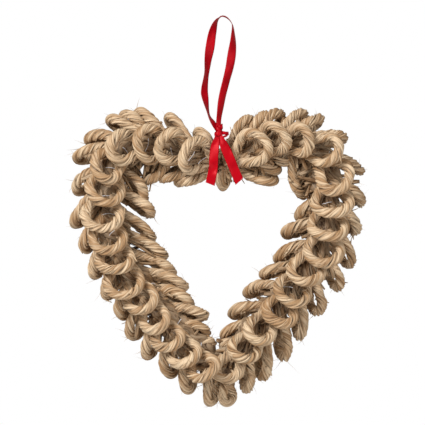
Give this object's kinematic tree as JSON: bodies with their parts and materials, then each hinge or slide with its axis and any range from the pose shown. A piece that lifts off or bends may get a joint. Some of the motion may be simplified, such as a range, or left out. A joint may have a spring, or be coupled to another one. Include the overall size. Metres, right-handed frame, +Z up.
{
  "type": "hanging straw heart ornament",
  "caption": "Heart-shaped wreath of twisted straw rope loops, overlapping from the cleft down to the tip, hung by a red satin ribbon loop with two tails.",
  "frame": {"origin": "inside top of the ribbon's hanging loop, where a nail or hook holds it", "axes": "+Z up, along the hanging direction; the heart's front faces -Y; +X is to the right as seen from the front"},
  "size_m": [0.2991, 0.0714, 0.3965],
  "materials": {
    "straw": "matt, dry twisted straw rope with darker creases",
    "satin": "soft satin sheen"
  },
  "bodies": {
    "root": {"straw_bunch_left_01": "straw", "straw_bunch_left_02": "straw", "straw_bunch_left_03": "straw", "straw_bunch_left_04": "straw", "straw_bunch_left_05": "straw", "straw_bunch_left_06": "straw", "straw_bunch_left_07": "straw", "straw_bunch_left_08": "straw", "straw_bunch_left_09": "straw", "straw_bunch_left_10": "straw", "straw_bunch_left_11": "straw", "straw_bunch_left_12": "straw", "straw_bunch_left_13": "straw", "straw_bunch_left_14": "straw", "straw_bunch_left_15": "straw", "straw_bunch_right_01": "straw", "straw_bunch_right_02": "straw", "straw_bunch_right_03": "straw", "straw_bunch_right_04": "straw", "straw_bunch_right_05": "straw", "straw_bunch_right_06": "straw", "straw_bunch_right_07": "straw", "straw_bunch_right_08": "straw", "straw_bunch_right_09": "straw", "straw_bunch_right_10": "straw", "straw_bunch_right_11": "straw", "straw_bunch_right_12": "straw", "straw_bunch_right_13": "straw", "straw_bunch_right_14": "straw", "straw_bunch_tip": "straw", "ribbon": "satin"}
  },
  "joints": []
}
